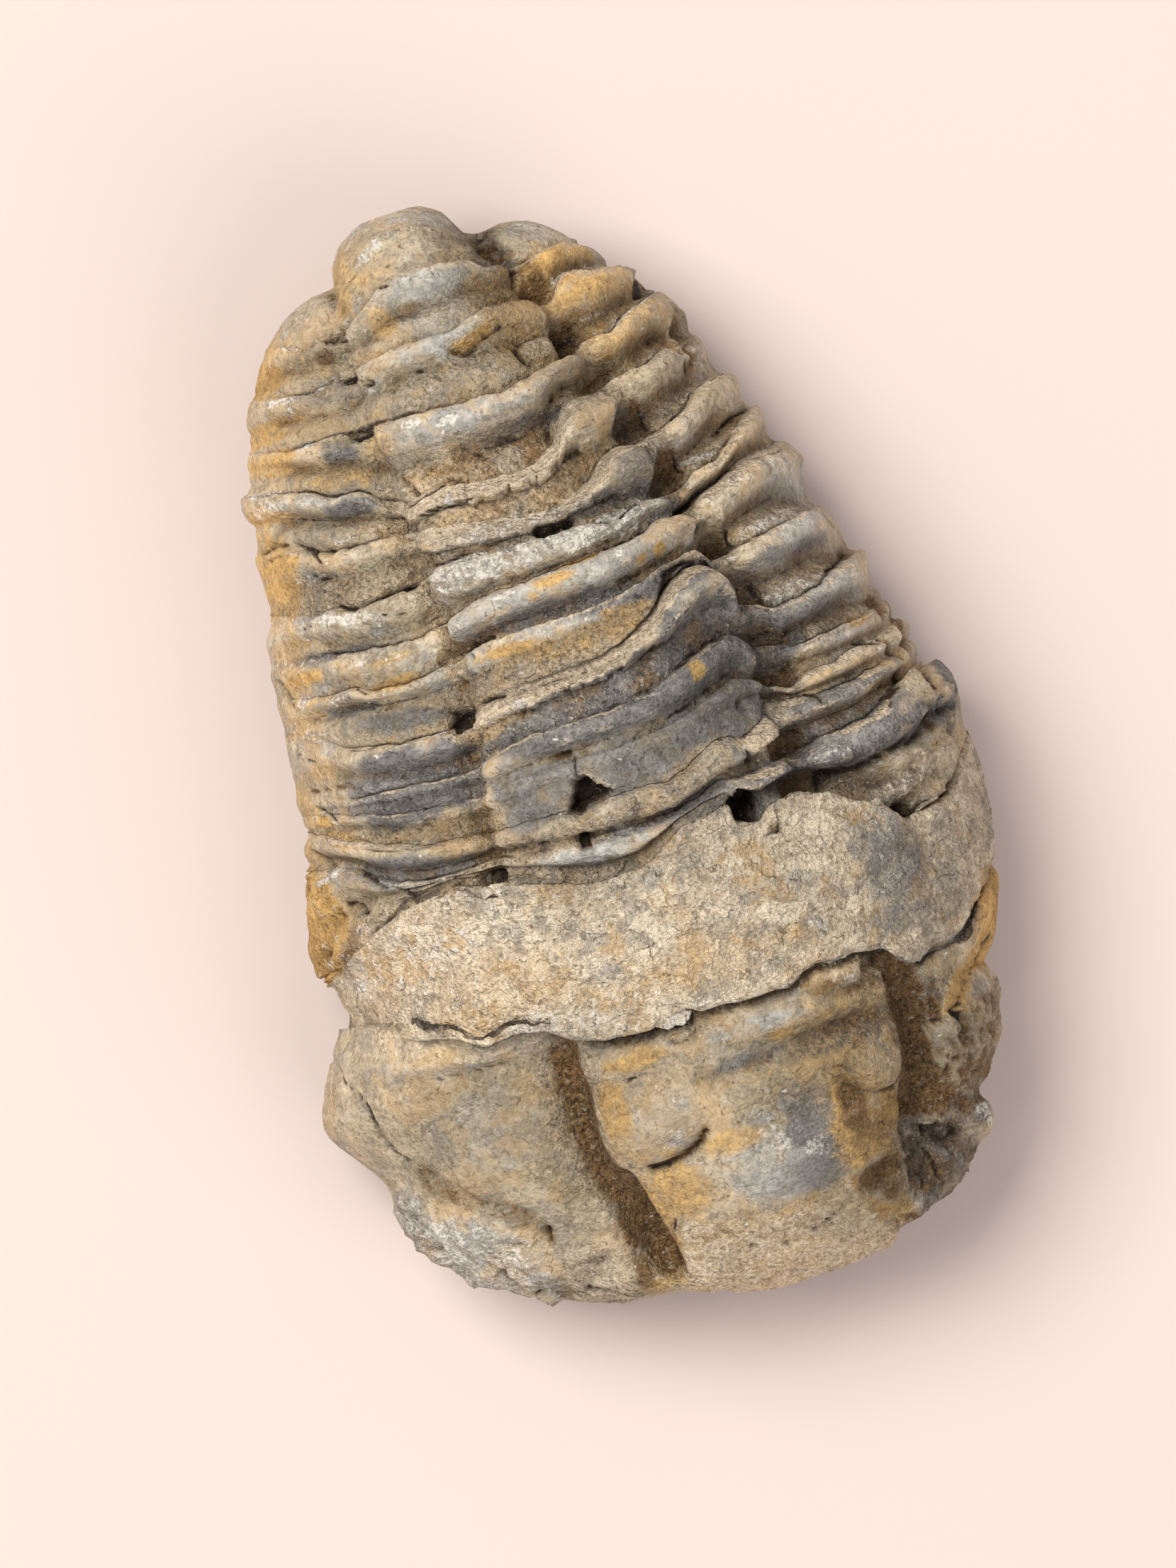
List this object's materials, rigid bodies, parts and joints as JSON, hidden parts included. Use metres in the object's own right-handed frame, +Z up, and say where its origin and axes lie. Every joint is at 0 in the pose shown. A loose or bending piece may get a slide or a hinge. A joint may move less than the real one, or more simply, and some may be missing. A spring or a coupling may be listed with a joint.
{
  "type": "fossil trilobite",
  "caption": "Stone trilobite, shell up on a flat rest face, with a ribbed back, a smooth plate across the neck and a blunt, partly broken head.",
  "frame": {"origin": "middle of the stone's box in plan, on the rest face", "axes": "+Y along the body towards the tail, +Z up through the ribbed back, +X towards the side with the shorter cheek"},
  "size_m": [0.0524, 0.0808, 0.0284],
  "materials": {
    "stone": "matt weathered limestone, grey shell with tan and ochre patches"
  },
  "bodies": {
    "root": {"trilobite": "stone"}
  },
  "joints": []
}
